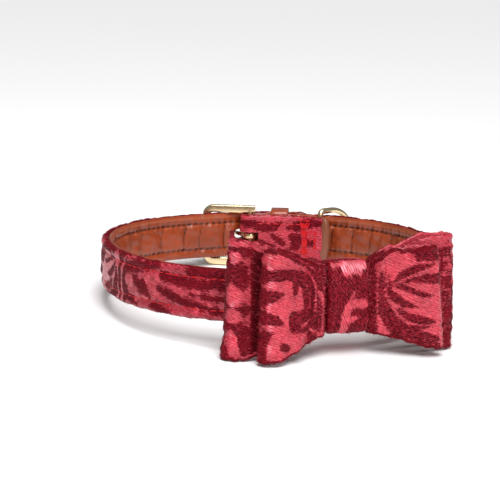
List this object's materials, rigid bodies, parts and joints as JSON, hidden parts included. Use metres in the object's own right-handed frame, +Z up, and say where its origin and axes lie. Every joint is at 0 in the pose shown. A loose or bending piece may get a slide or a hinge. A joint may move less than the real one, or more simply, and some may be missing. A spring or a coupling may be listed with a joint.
{
  "type": "dog collar",
  "caption": "Buckled dog collar: a padded brocade strap lined with leather, a gold pin buckle, a keeper, a lead ring and a wide layered brocade bow at the front.",
  "frame": {"origin": "under the middle of the collar's bounding box, on the table it lies on", "axes": "+Z up through the neck hole, +Y from the bow to the buckle, +X along the bow, to the right of someone who faces the bow"},
  "size_m": [0.139, 0.165, 0.0444],
  "materials": {
    "brocade": "crimson satin-stitched brocade with dark maroon leaf scrolls",
    "leather": "glossy padded cognac leather",
    "gold": "polished light gold plating"
  },
  "bodies": {
    "root": {"strap_cover": "brocade", "strap_lining": "leather", "bow_rear": "brocade", "bow_front": "brocade", "bow_knot": "brocade", "buckle_frame": "gold", "buckle_prong": "gold", "keeper": "leather", "lead_ring": "gold"}
  },
  "joints": []
}
